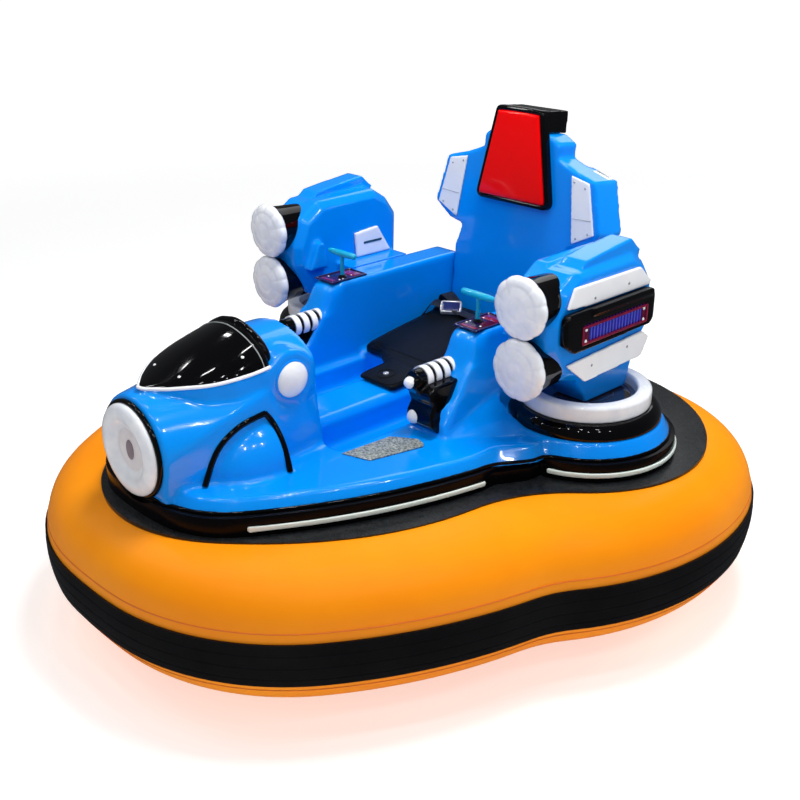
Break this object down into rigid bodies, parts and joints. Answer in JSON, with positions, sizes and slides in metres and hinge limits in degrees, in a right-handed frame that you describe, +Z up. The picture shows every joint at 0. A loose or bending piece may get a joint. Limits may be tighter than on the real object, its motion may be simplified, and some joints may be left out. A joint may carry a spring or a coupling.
{
  "type": "inflatable bumper car",
  "caption": "Single-seat fairground bumper car with an inflated tube round a moulded cockpit, joystick consoles, side pods and two driven wheels with swivel casters.",
  "frame": {"origin": "on the floor, under the middle of the car's bounding box", "axes": "+Z up, front of the car towards -Y, the rider's left towards +X"},
  "size_m": [1.913, 1.8858, 1.2754],
  "materials": {
    "tube_orange": "satin inflated vinyl",
    "rubber_black": "satin rubber",
    "body_blue": "high gloss gelcoat",
    "gloss_black": "high gloss",
    "light_strip": "milky diffuser",
    "lamp_white": "milky diffuser",
    "gloss_white": "gloss",
    "tread_plate": "coarse glitter tread",
    "control_plate": "satin",
    "joystick_cyan": "gloss",
    "smoked_glass": "mirror gloss smoked",
    "grille_violet": "satin",
    "panel_red": "satin gloss",
    "seat_leather": "soft vinyl",
    "chassis_steel": "powder coat",
    "battery_case": "matte",
    "bracket_steel": "zinc plated",
    "motor_alloy": "cast, satin",
    "tyre_rubber": "matte",
    "caster_tread": "matte"
  },
  "bodies": {
    "car": {"bumper_tube": "tube_orange", "bumper_band": "rubber_black", "deck": "rubber_black", "hull": "body_blue", "hull_skirt": "gloss_black", "skirt_lights": "light_strip", "nose_cowl": "body_blue", "nose_trim": "gloss_black", "nose_lamp": "lamp_white", "canopy": "gloss_black", "side_lamps": "lamp_white", "footplates": "tread_plate", "console_left": "body_blue", "console_right": "body_blue", "console_plates": "control_plate", "joysticks": "joystick_cyan", "exhausts": "gloss_black", "exhaust_trim": "gloss_white", "turbine_rings": "gloss_black", "turbine_collars": "lamp_white", "turbine_discs": "smoked_glass", "pod_left": "body_blue", "pod_right": "body_blue", "pod_housings": "gloss_black", "pod_lamps": "lamp_white", "pod_panels": "gloss_white", "pod_vents": "gloss_black", "pod_grilles": "grille_violet", "seat_back": "body_blue", "wing_plates": "gloss_white", "back_rim": "gloss_black", "back_panel": "panel_red", "headrest_box": "gloss_black", "seat_cushion": "seat_leather", "chassis": "chassis_steel", "battery": "battery_case", "drive_brackets": "bracket_steel"},
    "drive_left": {"hub_left": "motor_alloy", "tyre_left": "tyre_rubber"},
    "drive_right": {"hub_right": "motor_alloy", "tyre_right": "tyre_rubber"},
    "caster_front": {"caster_fork_front": "bracket_steel"},
    "caster_rear": {"caster_fork_rear": "bracket_steel"},
    "caster_wheel_front_body": {"caster_wheel_front": "caster_tread"},
    "caster_wheel_rear_body": {"caster_wheel_rear": "caster_tread"}
  },
  "joints": [
    {"name": "drive_left_spin", "type": "hinge", "parent": "car", "child": "drive_left", "pos_m": [0.3, 0.06, 0.1], "axis": [1, 0, 0], "continuous": true},
    {"name": "drive_right_spin", "type": "hinge", "parent": "car", "child": "drive_right", "pos_m": [-0.3, 0.06, 0.1], "axis": [1, 0, 0], "continuous": true},
    {"name": "caster_front_swivel", "type": "hinge", "parent": "car", "child": "caster_front", "pos_m": [0, -0.42, 0.16], "axis": [0, 0, 1], "continuous": true},
    {"name": "caster_front_spin", "type": "hinge", "parent": "caster_front", "child": "caster_wheel_front_body", "pos_m": [0, -0.385, 0.06], "axis": [1, 0, 0], "continuous": true},
    {"name": "caster_rear_swivel", "type": "hinge", "parent": "car", "child": "caster_rear", "pos_m": [0, 0.44, 0.16], "axis": [0, 0, 1], "continuous": true},
    {"name": "caster_rear_spin", "type": "hinge", "parent": "caster_rear", "child": "caster_wheel_rear_body", "pos_m": [0, 0.475, 0.06], "axis": [1, 0, 0], "continuous": true}
  ]
}
